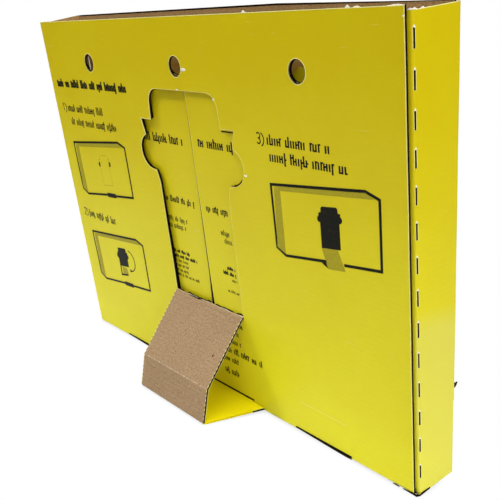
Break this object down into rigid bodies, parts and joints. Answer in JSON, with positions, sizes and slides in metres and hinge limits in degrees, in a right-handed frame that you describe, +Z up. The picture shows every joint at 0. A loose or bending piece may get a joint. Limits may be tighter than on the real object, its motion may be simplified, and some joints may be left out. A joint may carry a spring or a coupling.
{
  "type": "cardboard display stand",
  "caption": "Shallow open-topped counter display tray of folded fluted board, leaning back on an easel tab cut from its own back panel, with hang holes near the top.",
  "frame": {"origin": "centre of the bounding box's bottom face: on the floor, halfway along the width and halfway from the front wall's foot to the easel's foot", "axes": "+X along the width, to the right when facing the front; -Y towards the customer, where the dispensing gap is; +Z up; the tray leans back towards +Y by 7.5 degrees"},
  "size_m": [0.378, 0.0798, 0.2686],
  "materials": {
    "board": "semi-gloss yellow print outside, bare kraft inside"
  },
  "bodies": {
    "root": {"display_tray": "board"}
  },
  "joints": []
}
